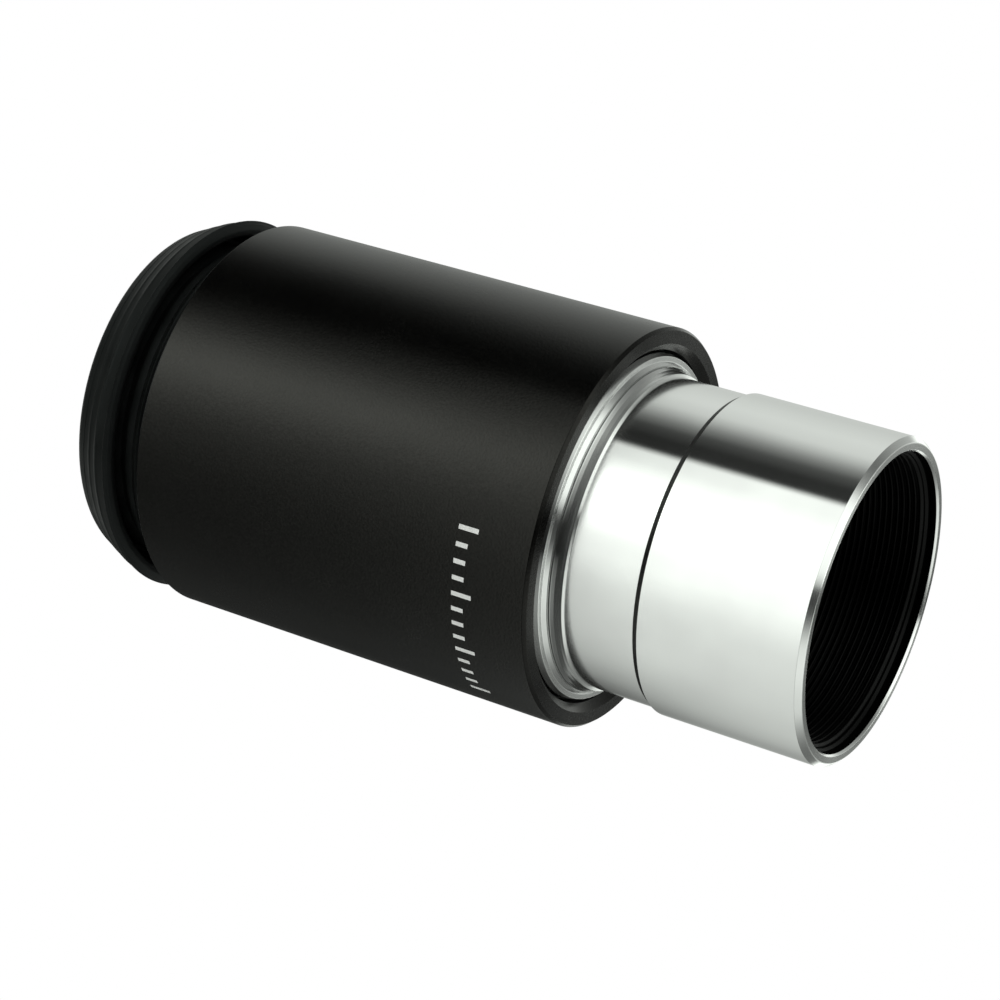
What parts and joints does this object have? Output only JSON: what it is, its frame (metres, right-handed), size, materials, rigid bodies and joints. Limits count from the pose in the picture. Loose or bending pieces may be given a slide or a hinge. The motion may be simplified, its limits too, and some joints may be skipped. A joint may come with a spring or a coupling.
{
  "type": "telescope eyepiece",
  "caption": "Push-in telescope eyepiece: chromed barrel with a retaining undercut, satin black housing round a two-doublet lens stack, and a folded-down rubber eyecup.",
  "frame": {"origin": "centre of the barrel's field-end face, on the optical axis", "axes": "+Z along the optical axis, from the barrel's field end towards the eye"},
  "size_m": [0.0398, 0.0398, 0.0789],
  "materials": {
    "chrome": "bright chrome plate over brass, blackened inside",
    "housing": "satin black anodised",
    "blackened": "matt black anodised",
    "crown_glass": "polished, coated",
    "flint_glass": "polished, coated",
    "rubber": "moulded matt black"
  },
  "bodies": {
    "housing": {"barrel": "chrome", "field_stop": "blackened", "body_shell": "housing", "cell_lock_ring": "blackened", "lens_cell": "blackened", "field_retainer": "blackened", "field_flint": "flint_glass", "field_crown": "crown_glass", "lens_spacer": "blackened", "eye_crown": "crown_glass", "eye_flint": "flint_glass", "eye_cap": "blackened"},
    "eyecup": {"eyecup_neck": "rubber"},
    "skirt": {"eyecup_skirt": "rubber"}
  },
  "joints": [
    {"name": "eyecup_turn", "type": "hinge", "parent": "housing", "child": "eyecup", "pos_m": [0, 0, 0.0715], "axis": [0, 0, 1], "continuous": true},
    {"name": "eyecup_fold", "type": "slide", "parent": "eyecup", "child": "skirt", "axis": [0, 0, 1], "range_m": [0, 0.0084], "deforming": ["eyecup_skirt"]}
  ]
}
